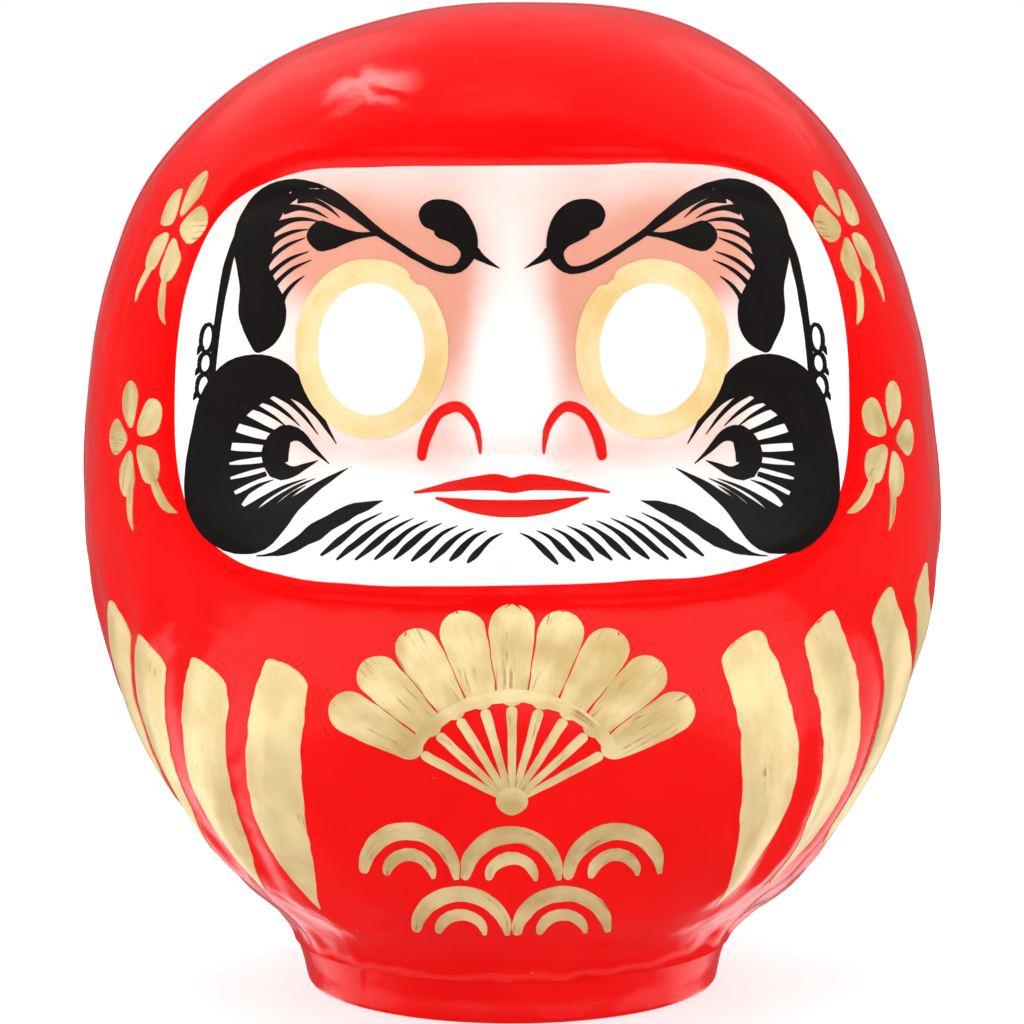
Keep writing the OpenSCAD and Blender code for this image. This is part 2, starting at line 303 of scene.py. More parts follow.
# %% [markdown]
# ## Ink, eye white, and the red of the lips
# These are single coats of one colour. A loaded brush leaves fine ridges along its path, so their bumps
# follow the stroke's own UV map, whose u runs along the stroke and v across it, both in metres.

# %% Mix the flat colours


def brushed(name, colour, pale, rough, ridge=0.03):
    """One brushed coat: colour drifts a little towards pale, and ridges run along the stroke."""
    f = Finish(name, Specular_IOR_Level=0.22)
    where, _ = f.place()
    along = f.node("UVMap", {"uv_map": "stroke"})
    hairs = f.grain(along, 0.0009, 3.0, (0.06, 1, 1))
    drift = f.grain(where, 9, 3.0)
    f.set("Base Color", f.mix(hairs.between(0.45, 0.95) * drift, colour, pale))
    f.set("Roughness", rough + drift * 0.15)
    f.set("Normal", f.bump(hairs, ridge))
    return f.material


ink_black = brushed("ink_black", shade(20, 16, 16), shade(40, 34, 32), 0.36, 0.02)
lip_red = brushed("lip_red", shade(226, 20, 14), shade(240, 52, 40), 0.3)
eye_white = brushed("eye_white", shade(254, 254, 253), shade(250, 249, 246), 0.4, 0.015)
print("flat colours:", ink_black.name, lip_red.name, eye_white.name)

# %% [markdown]
# ## Brushed gold
# The gold is brass powder in a clear binder. It pools a little along the stroke and runs dry in streaks,
# where the red below turns it brown. So the streaks are noise drawn out long along the stroke, and they are
# denser where slow clouds say that the brush was dry. Other slow clouds make the gold paler or darker: that
# is painted sheen and shade, which stands in for the light on the dented paper. Metal and binder are both in
# the coat, so it isn't fully metallic. The paint of the folds is fuller and paler, and that of the eye rings
# is nearly all binder.

# %% Mix the gold


def gold(name, bright, deep, dryness, metal, rough):
    f = Finish(name, Specular_IOR_Level=0.4)
    where, _ = f.place()
    along = f.node("UVMap", {"uv_map": "stroke"})
    hairs = f.grain(along, 0.0011, 4.0, (0.05, 1, 1), 0.6)
    dry = f.grain(where, 11, 2.0)
    streak = hairs.between(0.52, 0.64) * dry.between(0.7 - dryness, 0.86 - dryness)
    flakes = f.grain(where, 0.8, 2.0)
    pooled = f.grain(along, 0.007, 3.0, (0.3, 1, 1))
    # Slow clouds make the gold paler or darker: painted sheen and shade for the light on the dented paper.
    painted_sheen_and_shade = f.grain(where, 17, 3.0)
    coat = f.mix((pooled * 0.5 + painted_sheen_and_shade * 0.8).between(0.45, 0.85), bright, deep)
    f.set("Base Color", f.mix(streak * 0.8, coat, shade(146, 78, 38)))
    f.set("Metallic", metal - streak * 0.2)
    f.set("Roughness", rough + flakes * 0.12 + streak * 0.2)
    relief = f.bump(hairs, 0.04)
    relief = f.bump(f.grain(where, 9, 2.0), 0.3, after=relief)
    f.set("Normal", f.bump(f.grain(where, 2.5, 3.0), 0.07, after=relief))
    return f.material


gold_paint = gold("gold_paint", shade(250, 228, 170), shade(212, 180, 118), 0.2, 0.3, 0.3)
leaf_gold = gold("leaf_gold", shade(254, 232, 172), shade(236, 208, 148), 0.1, 0.3, 0.3)
ring_paint = gold("ring_paint", shade(249, 222, 172), shade(234, 198, 130), 0.02, 0.04, 0.42)
print("gold finishes:", gold_paint.name, leaf_gold.name, ring_paint.name)

# %% [markdown]
# ## Raw paper and clay
# The weight and the disc under the foot are never lacquered. Clay is matt with grit and hairline cracks;
# the paper is recycled pulp, so it is grey with flecks in it.

# %% Mix the raw materials


def raw(name, colour, pale, fleck, size, rough):
    f = Finish(name, Specular_IOR_Level=0.2)
    where, _ = f.place()
    mottled = f.mix(f.grain(where, size * 6, 4.0), colour, pale)
    grit = f.grain(where, size, 4.0)
    f.set("Base Color", f.mix(grit.between(0.6, 0.75) * 0.5, mottled, fleck))
    f.set("Roughness", rough)
    cracks = f.node("TexVoronoi", {"feature": "DISTANCE_TO_EDGE"}, {"Vector": where, "Scale": 0.06 / size})
    relief = f.bump(cracks.between(0.0, 0.04), 0.15 * size)
    f.set("Normal", f.bump(grit, 0.2 * size, after=relief))
    return f.material


raw_clay = raw("raw_clay", shade(150, 116, 88), shade(178, 146, 116), shade(96, 72, 54), 1.5, 0.85)
raw_paper = raw("raw_paper", shade(188, 182, 168), shade(214, 208, 194), shade(120, 112, 100), 0.7, 0.9)

# %% [markdown]
# ## From a bmesh to a finished piece
# Every piece ends the same way: doubles merged, normals out, smooth shading with its real edges kept sharp,
# a material, and a place on the frame. One helper does it, so that no piece forgets a step.

# %% Finish a piece
TRIANGLES = {}


def finish_piece(bm, name, material, replaces=(), merge=1e-6, sharp_deg=50.0):
    bmesh.ops.remove_doubles(bm, verts=bm.verts, dist=merge)
    bmesh.ops.recalc_face_normals(bm, faces=bm.faces)
    mesh = bpy.data.meshes.new(name)
    bm.to_mesh(mesh)
    bm.free()
    mesh.polygons.foreach_set("use_smooth", [True] * len(mesh.polygons))
    mesh.set_sharp_from_angle(angle=math.radians(sharp_deg))
    mesh.materials.append(material)
    piece = bpy.data.objects.new(name, mesh)
    bpy.context.scene.collection.objects.link(piece)
    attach(piece, "root")
    if replaces:
        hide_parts(*replaces)
    TRIANGLES[name] = sum(len(p.vertices) - 2 for p in mesh.polygons)
    return piece


# %% [markdown]
# ## The outline of the mould
# Seen from the side, the body is two ovals that meet at the belly: a full, squarish one above and a rounder
# one below. The outline is walked in even steps, because even quads give clean reflections in gloss.

# %% Draw the outline


def body_radius(z):
    """Radius of the plain body at height z."""
    if z > BELLY_Z:
        share, power = (z - BELLY_Z) / (CROWN_Z - BELLY_Z), CROWN_POWER
    else:
        share, power = (BELLY_Z - z) / BELLY_Z, ROBE_POWER
    return BODY_R * max(0.0, 1 - min(1.0, share) ** power) ** (1 / power)


def body_normal(r, z):
    """Outward direction (sideways, up) of the plain body at radius r and height z."""
    high = CROWN_Z - BELLY_Z if z > BELLY_Z else BELLY_Z
    power = CROWN_POWER if z > BELLY_Z else ROBE_POWER
    aside = (r / BODY_R) ** (power - 1) / BODY_R
    up = abs((z - BELLY_Z) / high) ** (power - 1) / high
    return Vector((aside, math.copysign(up, z - BELLY_Z))).normalized()


def quarter_oval(high, power, steps):
    for i in range(steps + 1):
        turn = math.pi / 2 * i / steps
        yield BODY_R * math.cos(turn) ** (2 / power), high * math.sin(turn) ** (2 / power)


def even_steps(points, pitch):
    """The same line with its points evenly spaced, about pitch apart."""
    lengths = [0.0]
    for a, b in zip(points, points[1:]):
        lengths.append(lengths[-1] + (b - a).length)
    count = max(1, round(lengths[-1] / pitch))
    found, k = [], 0
    for i in range(count + 1):
        goal = lengths[-1] * i / count
        while k < len(points) - 2 and lengths[k + 1] < goal:
            k += 1
        share = (goal - lengths[k]) / (lengths[k + 1] - lengths[k])
        found.append(points[k].lerp(points[k + 1], min(1.0, max(0.0, share))))
    return found


def body_outline(pitch, low_z=FOOT_H):
    """Points (radius, height) from low_z up to the crown."""
    robe = [Vector((r, BELLY_Z - h)) for r, h in quarter_oval(BELLY_Z, ROBE_POWER, 600)]
    hood = [Vector((r, BELLY_Z + h)) for r, h in quarter_oval(CROWN_Z - BELLY_Z, CROWN_POWER, 600)]
    line = [p for p in reversed(robe[1:]) if p.y > low_z] + hood
    line.insert(0, Vector((body_radius(low_z), low_z)))
    line[-1] = Vector((0.0, CROWN_Z))
    return even_steps(line, pitch)


print("outline:", len(body_outline(2.0)), "points, top radius of the foot", round(body_radius(FOOT_H), 1))

# %% [markdown]
# ## The carved relief
# The mould is a carved block, and the carving is what tells this body from an egg. The hood rolls over a
# sunken face, the robe has upright folds, and the face has a nose, lips, lids and cheeks of a calm and
# ordinary kind, laid out by thirds. Each form is a bell curve or a smooth step, added along the outward
# direction.

# %% Carve the relief
FACE_MID_Z = FACE_LOW.z + (FACE_HIGH.z - FACE_LOW.z) * 0.44
FACE_HALF_W = FACE_HIGH.x + 1.0
# Each half of the face's edge: its height, and the powers of its width and its height in the oval's sum
FACE_UPPER = (FACE_HIGH.z - FACE_MID_Z + 1.6, 6.0, 2.2)
FACE_LOWER = (FACE_MID_Z - FACE_LOW.z - 0.8, 6.0, 3.2)
SINK = 7.0
NOSE_BASE_Z = FACE_LOW.z + (FACE_HIGH.z - FACE_LOW.z) / 3
FOLD_DEG = 12.8
FIRST_FOLD_DEG = 29.5
FOLD_TOP_Z = 118.0
FOLD_TAIL_Z = 36.0
# Where the folds fade in and out again, in height and in angle, and where the crown is rubbed smooth
FOLD_FADE_Z = (30, 56, 112, 142)
FOLD_FADE_DEG = (28, 52, 92, 108)
CROWN_SMOOTH_Z = (235, 262)
NOSE_OUT = 9.0
NOSE_TIP_UP = 8.0
BRIDGE_H = 46.0
UNDER_NOSE_H = 11.0
# No hand-carved mould is quite even: (aside, height), size and rise of its broad lumps
LUMPS = [
    ((-106, 236), 46, 1.9), ((108, 226), 50, -1.7), ((-106, 82), 48, -2.0), ((-129, 156), 24, 1.4),
    ((129, 148), 24, 1.4), ((84, 31), 22, 4.4), ((48, 290), 32, 1.3), ((-52, 288), 32, -1.3),
    ((-99, 52), 16, -1.6), ((-78, 31), 14, 1.6),
]


def bell(u):
    return math.exp(-u * u)


def step(low, high, u):
    """0 at low, 1 at high, and a smooth rise between; low may be above high."""
    t = min(1.0, max(0.0, (u - low) / (high - low)))
    return t * t * (3 - 2 * t)


def between(a, b, c, d, u):
    """Rises from 0 at a to 1 at b, and falls back from c to d."""
    return step(a, b, u) * (1 - step(c, d, u))


def face_inside(x, z):
    """Distance from the face's painted edge, in mm, more than 0 inside it."""
    high, wide_power, high_power = FACE_UPPER if z > FACE_MID_Z else FACE_LOWER
    u, v = abs(x) / FACE_HALF_W, abs(z - FACE_MID_Z) / high
    q = (u**wide_power + v**high_power) ** (1 / wide_power)
    if q < 0.3:
        return min(FACE_HALF_W, high) * 0.7
    along_u = u ** (wide_power - 1) / FACE_HALF_W
    along_v = high_power / wide_power * v ** (high_power - 1) / high
    return (1 - q) * q ** (wide_power - 1) / max(1e-6, math.hypot(along_u, along_v))


def features(x, z):
    """Relief of the face itself: nose, lids, lips, cheeks and brow."""
    side = abs(x)
    tip_z = NOSE_BASE_Z + NOSE_TIP_UP
    if z > tip_z:
        ridge = NOSE_OUT * (1 - step(0, BRIDGE_H, z - tip_z)) ** 1.3
    else:
        ridge = NOSE_OUT * (1 - step(0, UNDER_NOSE_H, tip_z - z))
    ridge *= bell(x / (8.0 + 3.5 * bell((z - tip_z) / 10)))
    wings = 4.6 * bell(math.hypot((side - 12.5) / 6.0, (z - NOSE_BASE_Z - 5) / 6.5))
    eye = math.hypot((side - EYE_X) / (EYE_A + RING_W), (z - EYE_Z) / (EYE_B + RING_W))
    lid = 2.6 * (1 - step(0.35, 1.15, eye))
    brow = 2.2 * bell(math.hypot((side - EYE_X - 4) / 30, (z - EYE_Z - 34) / 9))
    cheek = 2.4 * bell(math.hypot((side - 62) / 22, (z - NOSE_BASE_Z + 2) / 16))
    lips = 1.7 * bell(math.hypot(x / 24, (z - MOUTH_Z) / 6.5))
    lips -= 0.6 * bell(math.hypot(x / 24, (z - MOUTH_Z) / 2.2))
    chin = 1.8 * bell(math.hypot(x / 20, (z - MOUTH_Z + 15) / 8))
    return max(ridge, wings) + 0.35 * min(ridge, wings) + lid + brow + cheek + lips + chin


def fold_lean(share, whole=12.5):
    """How many degrees a fold has swept round the robe by share, 0 at its top and 1 at its tail."""
    return whole * (1 - (1 - min(1.0, max(0.0, share))) ** 1.6)


def relief(x, y, z):
    """How far the mould stands out from the plain body at a point on it, in mm."""
    place = Vector((x, y, z))
    uneven = 1 - 0.65 * step(*CROWN_SMOOTH_Z, z)
    rise = 0.9 * noise.noise(place / 48)
    rise += uneven * (0.34 * noise.noise(place / 17) + 0.1 * noise.noise(place / 6))
    turn = math.degrees(math.atan2(x, -y))
    if y < 0 and z > FACE_LOW.z - 40:
        inside = face_inside(x, z)
        deep = SINK * (1 - 0.7 * step(58, 96, abs(x))) * step(-5.0, 2.5, inside)
        rim = 0.35 * bell((inside + 10) / 8)
        rise += rim - deep + features(x, z) * step(-1, 8, inside)
    folds = between(*FOLD_FADE_Z, z) * between(*FOLD_FADE_DEG, abs(turn))
    lean = fold_lean((FOLD_TOP_Z - z) / (FOLD_TOP_Z - FOLD_TAIL_Z))
    wave = math.cos(math.radians((abs(turn) - FIRST_FOLD_DEG - lean) * 360 / FOLD_DEG))
    rise += folds * (0.75 + 0.6 * noise.noise(place / 30)) * wave
    rise += step(70, 30, z) * 0.55 * noise.noise(Vector((turn / 9, z / 8, 3.0)))
    for (lump_x, lump_z), size, height in LUMPS:
        rise += height * bell(math.dist((x, y, z), (lump_x, 0, lump_z)) / size)
    return rise


# %% [markdown]
# ## The two halves of the body
# Pulp is pressed over the mould, dried, and cut in two to free it. A half of the outline is spun round half
# a turn, the relief is carved in, and Solidify gives the paper its thickness inwards. The front half is
# finer, because it carries the face.

# %% Press the shells
SKIN = []
FULL_TURN = 2 * math.pi


def spun(section, turn, steps):
    """Points (radius, height) in mm, joined and spun round the axis; a full turn closes the section too."""
    whole = turn == FULL_TURN
    bm = bmesh.new()
    line = [bm.verts.new((r * MM, 0, z * MM)) for r, z in section]
    ends = line[1:] + line[:1] if whole else line[1:]
    edges = [bm.edges.new(pair) for pair in zip(line, ends)]
    bmesh.ops.spin(
        bm, geom=line + edges, cent=(0, 0, 0), axis=(0, 0, 1), angle=turn, steps=steps, use_merge=whole
    )
    bmesh.ops.remove_doubles(bm, verts=bm.verts, dist=0.0001 * MM)
    return bm


def half_shell(name, turn, steps, pitch, node):
    bm = spun(body_outline(pitch), turn, steps)
    for vert in bm.verts:
        x, y, z = vert.co / MM
        r = math.hypot(x, y)
        aside, up = body_normal(r, z)
        out = Vector((x / r * aside, y / r * aside, up)) if r > 0.001 else Vector((0, 0, 1))
        vert.co += out * relief(x, y, z) * MM
        if abs(y) < 0.001:
            vert.co.y = 0
    bmesh.ops.recalc_face_normals(bm, faces=bm.faces)
    SKIN.append(BVHTree.FromBMesh(bm))
    shell = finish_piece(bm, name, red_lacquer, [node], sharp_deg=80)
    wall = shell.modifiers.new("wall", "SOLIDIFY")
    wall.thickness = WALL * MM
    wall.offset = -1


half_shell("front_body", -math.pi, 240, 1.9, "front_shell")
half_shell("back_body", math.pi, 130, 3.0, "back_shell")
print("shells:", {n: TRIANGLES[n] for n in ("front_body", "back_body")}, "triangles before the wall")

# %% [markdown]
# ## Pieces turned on the axis
# The foot cup, the clay weight, the disc under the foot and the strip round the neck are all round. Each is
# a closed section spun a full turn, and then dented a little by noise, because all of them are pressed by
# hand.

# %% Turn the round pieces


def turned(name, section, steps, dent, size, material, node, sharp_deg=40.0):
    bm = spun(section, FULL_TURN, steps)
    for vert in bm.verts:
        place = vert.co / MM
        r = math.hypot(place.x, place.y)
        if place.z > 0.9 and r > 1:
            push = dent * noise.noise(place / size) + dent * 0.4 * noise.noise(place / size * 3)
            vert.co += Vector((place.x / r, place.y / r, 0.3)) * push * MM
    finish_piece(bm, name, material, [node], sharp_deg=sharp_deg)


def rounded(points, radius, steps=4):
    """The same closed section with each corner rounded by an arc."""
    soft = []
    for i, (r, z) in enumerate(points):
        here = Vector((r, z))
        before = Vector(points[i - 1]) - here
        after = Vector(points[(i + 1) % len(points)]) - here
        reach = min(radius, before.length * 0.45, after.length * 0.45)
        a, b = here + before.normalized() * reach, here + after.normalized() * reach
        for k in range(steps + 1):
            t = k / steps
            soft.append(a * (1 - t) ** 2 + here * 2 * t * (1 - t) + b * t * t)
    return soft


FOOT_BASE_R = 63.3
FOOT_LIP_R = FOOT_TOP_R + 1.6
PAPER_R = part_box("base_paper")[1].x / MM
PAPER_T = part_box("base_paper")[1].z / MM
WEIGHT_LOW, WEIGHT_HIGH = (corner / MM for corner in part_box("clay_weight"))
STICK_R = 5.0
cup_wall = [
    (FOOT_BASE_R, 0), (FOOT_BASE_R + 1.4, FOOT_H * 0.4),
    (FOOT_LIP_R - 0.6, FOOT_H * 0.8), (FOOT_LIP_R, FOOT_H),
]
cup_inside_r = WEIGHT_HIGH.x + 0.5
cup_inside = [(cup_inside_r, FOOT_H), (cup_inside_r, WEIGHT_LOW.z), (STICK_R, WEIGHT_LOW.z)]
cup_under = [(STICK_R, PAPER_T), (PAPER_R, PAPER_T), (PAPER_R, 0)]
cup_section = rounded(cup_wall + cup_inside + cup_under, 1.8)
turned("foot", cup_section, 160, 0.35, 16, red_lacquer, "foot_cup")
weight_r, weight_z = WEIGHT_HIGH.x, WEIGHT_HIGH.z
weight_section = [
    (STICK_R, WEIGHT_LOW.z), (weight_r, WEIGHT_LOW.z), (weight_r, weight_z),
    (weight_r * 0.85, weight_z - 0.5), (weight_r * 0.5, weight_z - 3), (STICK_R, weight_z - 4),
]
turned("weight", rounded(weight_section, 2.5), 96, 0.5, 14, raw_clay, "clay_weight")
paper_section = [(0.0, 0.0), (PAPER_R - 0.3, 0.0), (PAPER_R - 0.1, PAPER_T), (0.0, PAPER_T)]
turned("under_paper", paper_section, 96, 0.0, 9, raw_paper, "base_paper")
print("round pieces:", {n: TRIANGLES[n] for n in ("foot", "weight", "under_paper")})

# %% [markdown]
# ## Finding the skin
# Paint and paper lie on the carved skin, so each of their points is dropped onto it with a ray. Paint on
# the face is drawn as seen from the front, and paint on the robe by its angle round the body; both aim at
# the axis.

# %% Drop points onto the skin


def drop(start, direction):
    """Where a ray first meets the skin, and the skin's outward direction there, in metres."""
    hits = [tree.ray_cast(start, direction) for tree in SKIN]
    hits = [hit for hit in hits if hit[0] is not None]
    place, normal, _, _ = min(hits, key=lambda hit: hit[3])
    return place, (normal if normal.dot(direction) < 0 else -normal)


def on_skin(turn, z, lift):
    """A point at an angle (radians) round the body and a height, lifted off the skin by lift mm."""
    out = Vector((math.sin(turn), -math.cos(turn), 0))
    place, normal = drop(Vector((out.x * 0.2, out.y * 0.2, z * MM)), -out)
    return place + normal * lift * MM


def from_front(x, z, lift):
    """A point drawn x mm aside and z mm up, as seen from the front."""
    place, normal = drop(Vector((x * MM, -0.3, z * MM)), Vector((0, 1, 0)))
    return place + normal * lift * MM


def round_robe(u, z, lift):
    """A point u mm round the belly and z mm up."""
    return on_skin(u / BODY_R, z, lift)


# %% [markdown]
# ## The strip round the neck
# A strip of thin paper is pasted over the crease between the body and the foot. It bridges the corner in a
# soft hollow, and because a flat strip can't lie round a cone it puckers. The pucker is a wave round the
# ring.

# %% Paste the neck strip
STRIP_T = 0.5
NECK_TOP_Z = FOOT_H + 9
NECK_ROWS = 12
NECK_CORNER_Z = FOOT_H + 1.2


def neck_point(share, robe_r, slope):
    """Radius and height of the strip, from the foot's wall (share 0) to a smooth end on the robe (1)."""
    low = Vector((FOOT_LIP_R + 0.1, FOOT_H - 4.0))
    top = Vector((robe_r, NECK_TOP_Z))
    corner = Vector((robe_r - slope * (NECK_TOP_Z - NECK_CORNER_Z), NECK_CORNER_Z))
    return low * (1 - share) ** 2 + corner * 2 * share * (1 - share) + top * share * share


neck = spun([(FOOT_TOP_R, k) for k in range(2 * NECK_ROWS + 2)], FULL_TURN, 300)
for vert in neck.verts:
    row = round(vert.co.z / MM)
    outside = row <= NECK_ROWS
    share = (row if outside else 2 * NECK_ROWS + 1 - row) / NECK_ROWS
    turn = math.atan2(vert.co.x, -vert.co.y)
    here, below = (on_skin(turn, NECK_TOP_Z - drop_z, 0.0).xy.length / MM for drop_z in (0, 2))
    place = neck_point(share, here - 0.05, (here - below) / 2)
    pucker = 0.4 * noise.noise(Vector((math.cos(turn) * 9, math.sin(turn) * 9, share * 2.5)))
    place.x += pucker * math.sin(math.pi * share) - (0 if outside else STRIP_T + 0.1)
    vert.co = Vector((math.sin(turn) * place.x, -math.cos(turn) * place.x, place.y)) * MM
finish_piece(neck, "neck_paper", red_paper, ["neck_strip"])

# %% [markdown]
# ## The strip over the seam
# A paper strip runs up one side, over the crown and down the other, and hides the joint between the halves.
# Under the lacquer it shows as a low, soft-edged band. It is a grid wrapped over the skin, a little proud
# of it, and from here on it counts as skin, so that paint goes over it.

# %% Paste the seam strip
STRIP_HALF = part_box("seam_strip")[1].y / MM


def close_film(bm, put, lift, sink):
    """Lays a flat grid on the skin as a thin closed film; put(vert, lift) says where a point goes."""
    under = list(bm.verts)
    tops = bmesh.ops.extrude_face_region(bm, geom=list(bm.faces), use_keep_orig=True)["geom"]
    top = [g for g in tops if isinstance(g, bmesh.types.BMVert)]
    places = {vert: put(vert, lift) for vert in top}
    places.update({vert: put(vert, -sink) for vert in under})
    for vert, place in places.items():
        vert.co = place


def seam_strip():
    bm = bmesh.new()
    line = body_outline(3.0, FOOT_H + 7)
    path = [Vector((-p.x, p.y)) for p in line] + [Vector((p.x, p.y)) for p in reversed(line[:-1])]
    bmesh.ops.create_grid(bm, x_segments=len(path) - 1, y_segments=8, size=1.0)

    def put(vert, lift):
        k = (vert.co.x + 1) / 2 * (len(path) - 1)
        here = path[round(k)]
        torn = 1 + 0.05 * noise.noise(Vector((k * 0.9, math.copysign(5, vert.co.y), 0)))
        side, up = body_normal(abs(here.x), here.y)
        out = Vector((math.copysign(side, here.x), 0, up))
        start = Vector((here.x * MM, vert.co.y * STRIP_HALF * torn * MM, here.y * MM)) + out * 0.03
        place, normal = drop(start, -out)
        fade = 1 - abs(vert.co.y) ** 6
        return place + normal * (lift * fade + 0.04) * MM

    close_film(bm, put, 0.45, 0.45)
    SKIN.append(BVHTree.FromBMesh(bm))
    finish_piece(bm, "seam_paper", red_paper, ["seam_strip"], sharp_deg=70)


seam_strip()
print("strips:", {n: TRIANGLES[n] for n in ("neck_paper", "seam_paper")})

# %% [markdown]
# ## The ground coat of the face
# The white ground is one patch that fills the sunken face. Its edge is the mould's own outline, so that
# outline is filled with one face, cut into small squares by parallel planes, and laid on the skin. Cutting
# with planes keeps the edge exact and leaves the inside even.

# %% Lay the face's ground
GROUND_LIFT = 0.3


def face_edge(count):
    """The painted edge as points seen from the front."""
    for i in range(count):
        turn = 2 * math.pi * i / count
        c, s = math.cos(turn), math.sin(turn)
        high, wide_power, high_power = FACE_UPPER if s > 0 else FACE_LOWER
        x = math.copysign(abs(c) ** (2 / wide_power), c) * FACE_HALF_W
        z = math.copysign(abs(s) ** (2 / high_power), s) * high + FACE_MID_Z
        sway = 0.7 * noise.noise(Vector((x / 16, z / 16, 9.0))) + 0.8 * math.sin(x / 60)
        yield x, z + sway


def patch(bm, outline, pitch):
    """Fills an outline in the flat (u, z) plane and cuts it into squares of about pitch."""
    ring = [bm.verts.new((u, 0, z)) for u, z in outline]
    bm.faces.new(ring)
    for axis, index in (((1, 0, 0), 0), ((0, 0, 1), 2)):
        low, high = (f(v.co[index] for v in ring) for f in (min, max))
        at = low + pitch
        while at < high - pitch * 0.2:
            spot = [0.0, 0.0, 0.0]
            spot[index] = at
            everything = bm.verts[:] + bm.edges[:] + bm.faces[:]
            bmesh.ops.bisect_plane(bm, geom=everything, plane_co=spot, plane_no=axis)
            at += pitch


def put_from_front(vert, lift):
    return from_front(vert.co.x, vert.co.z, lift)


def face_ground():
    bm = bmesh.new()
    patch(bm, face_edge(280), 1.25)
    close_film(bm, put_from_front, GROUND_LIFT, 0.2)
    finish_piece(bm, "face_ground_coat", face_paint, ["face_ground"], sharp_deg=60)


face_ground()
print("ground coat:", TRIANGLES["face_ground_coat"], "triangles")

# %% [markdown]
# ## A brush stroke
# Almost everything else on the doll is a brush stroke, so it is worth a good tool. A stroke is a grid: its
# rows follow a curve through a few points, and its width follows a list of half widths. The curve is walked
# with steps that shorten towards both ends, where a stroke has its round head or thin tail. The edge sways
# a little, as a hand does, and a dry end is ragged. Then the grid is laid on the skin and given its
# thickness.

# %% Make the brush
PAINT_SINK = 0.1
THINNEST = 0.08
# Which ends of a stroke are round
BOTH, START, FINISH, NEITHER = (True, True), (True, False), (False, True), (False, False)


def spline(values, t):
    """A smooth curve through values, for t from 0 to 1."""
    last = len(values) - 1
    k = min(last - 1, int(t * last))
    f = t * last - k
    p0, p1, p2, p3 = (values[min(last, max(0, k + d))] for d in (-1, 0, 1, 2))
    bend = 2 * p0 - 5 * p1 + 4 * p2 - p3
    twist = 3 * p1 - p0 - 3 * p2 + p3
    return 0.5 * (2 * p1 + (p2 - p0) * f + bend * f * f + twist * f**3)


def stroke(
    bm, points, widths, lift, place_on=from_front,
    round_ends=START, ragged=0.0, sway=0.12, fine=1.3, blunt=1.0,
):
    """Adds one closed stroke to bm. points are (u, z), widths half widths, all in mm."""
    line = [Vector(p) for p in points]
    samples = 60
    walked = [0.0]
    curve = [spline(line, i / samples) for i in range(samples + 1)]
    for a, b in zip(curve, curve[1:]):
        walked.append(walked[-1] + (b - a).length)
    length = walked[-1]
    rows = max(8, round(length / fine))
    columns = max(3, round(2 * max(widths) / fine))
    seed = line[0].x * 0.37 + line[0].y * 0.11

    grid = bmesh.ops.create_grid(bm, x_segments=rows, y_segments=columns, size=1.0)
    verts = grid["verts"]
    faces = {face for vert in verts for face in vert.link_faces}
    uv = bm.loops.layers.uv.get("stroke") or bm.loops.layers.uv.new("stroke")

    flat = {}
    for vert in verts:
        across = vert.co.y
        t = (1 - math.cos((vert.co.x + 1) / 2 * math.pi)) / 2
        if ragged:
            bristle = noise.noise(Vector((across * 6 + seed, seed, 0.5)))
            t = min(1.0, max(0.0, t + (1 - t) ** 6 * bristle * ragged / length))
        gone = t * length
        k = next((i for i, w in enumerate(walked) if w >= gone), samples)
        k = max(1, k)
        part = (k - 1 + (gone - walked[k - 1]) / max(1e-9, walked[k] - walked[k - 1])) / samples
        part = min(1.0, max(0.0, part))
        here = spline(line, part)
        ahead = (spline(line, min(1.0, part + 0.01)) - spline(line, max(0.0, part - 0.01))).normalized()
        half = max(THINNEST, spline(widths, part))
        for is_round, from_end in ((round_ends[0], gone), (round_ends[1], length - gone)):
            if is_round and from_end < half * blunt:
                half *= math.sqrt(max(0.0004, 1 - (1 - from_end / half / blunt) ** 2))
        edge = sway * noise.noise(Vector((gone / 4, seed + math.copysign(3, across), 1.5))) * abs(across)
        at = here + Vector((-ahead.y, ahead.x)) * (across * half + edge * min(1.0, half))
        flat[vert] = (at.x, at.y, gone, across * half)
    for face in faces:
        for loop in face.loops:
            _, _, gone, side = flat[loop.vert]
            loop[uv].uv = ((gone + seed * 7) * MM, (side + seed * 3) * MM)

    tops = bmesh.ops.extrude_face_region(bm, geom=list(faces), use_keep_orig=True)["geom"]
    top_verts = [g for g in tops if isinstance(g, bmesh.types.BMVert)]
    under = {(round(v.co.x, 6), round(v.co.y, 6)): v for v in verts}
    for vert in top_verts:
        below = under[(round(vert.co.x, 6), round(vert.co.y, 6))]
        u, z, _, _ = flat[below]
        vert.co = place_on(u, z, lift)
    for vert in verts:
        u, z, _, _ = flat[vert]
        vert.co = place_on(u, z, -PAINT_SINK)


def painted(name, material, slot, node, strokes, *given):
    """One piece from several strokes, which strokes(bm, *given) adds to a bmesh."""
    bm = bmesh.new()
    strokes(bm, *given)
    finish_piece(bm, name, material, [node], merge=1e-8, sharp_deg=60)
    print(name, TRIANGLES[name], "triangles")


def mirrored(side, points):
    """Points drawn for the doll's left, moved to the wanted side."""
    return [(side * u, z) for u, z in points]


SIDES = ((1, "left"), (-1, "right"))
INK_LIFT = 0.43
GOLD_LIFT = 0.2

# %% [markdown]
# ## Brows like cranes
# Each brow is a crane. One long line starts as its bent head beside the nose, dips along the neck, and
# swells over the eye into a folded wing. Fine feathers reach in from the wing, round the dark drop of its
# breast. A feather is a short stroke from a root to a tip, thick at its root, and it bows a little upwards.

# %% Paint feathers


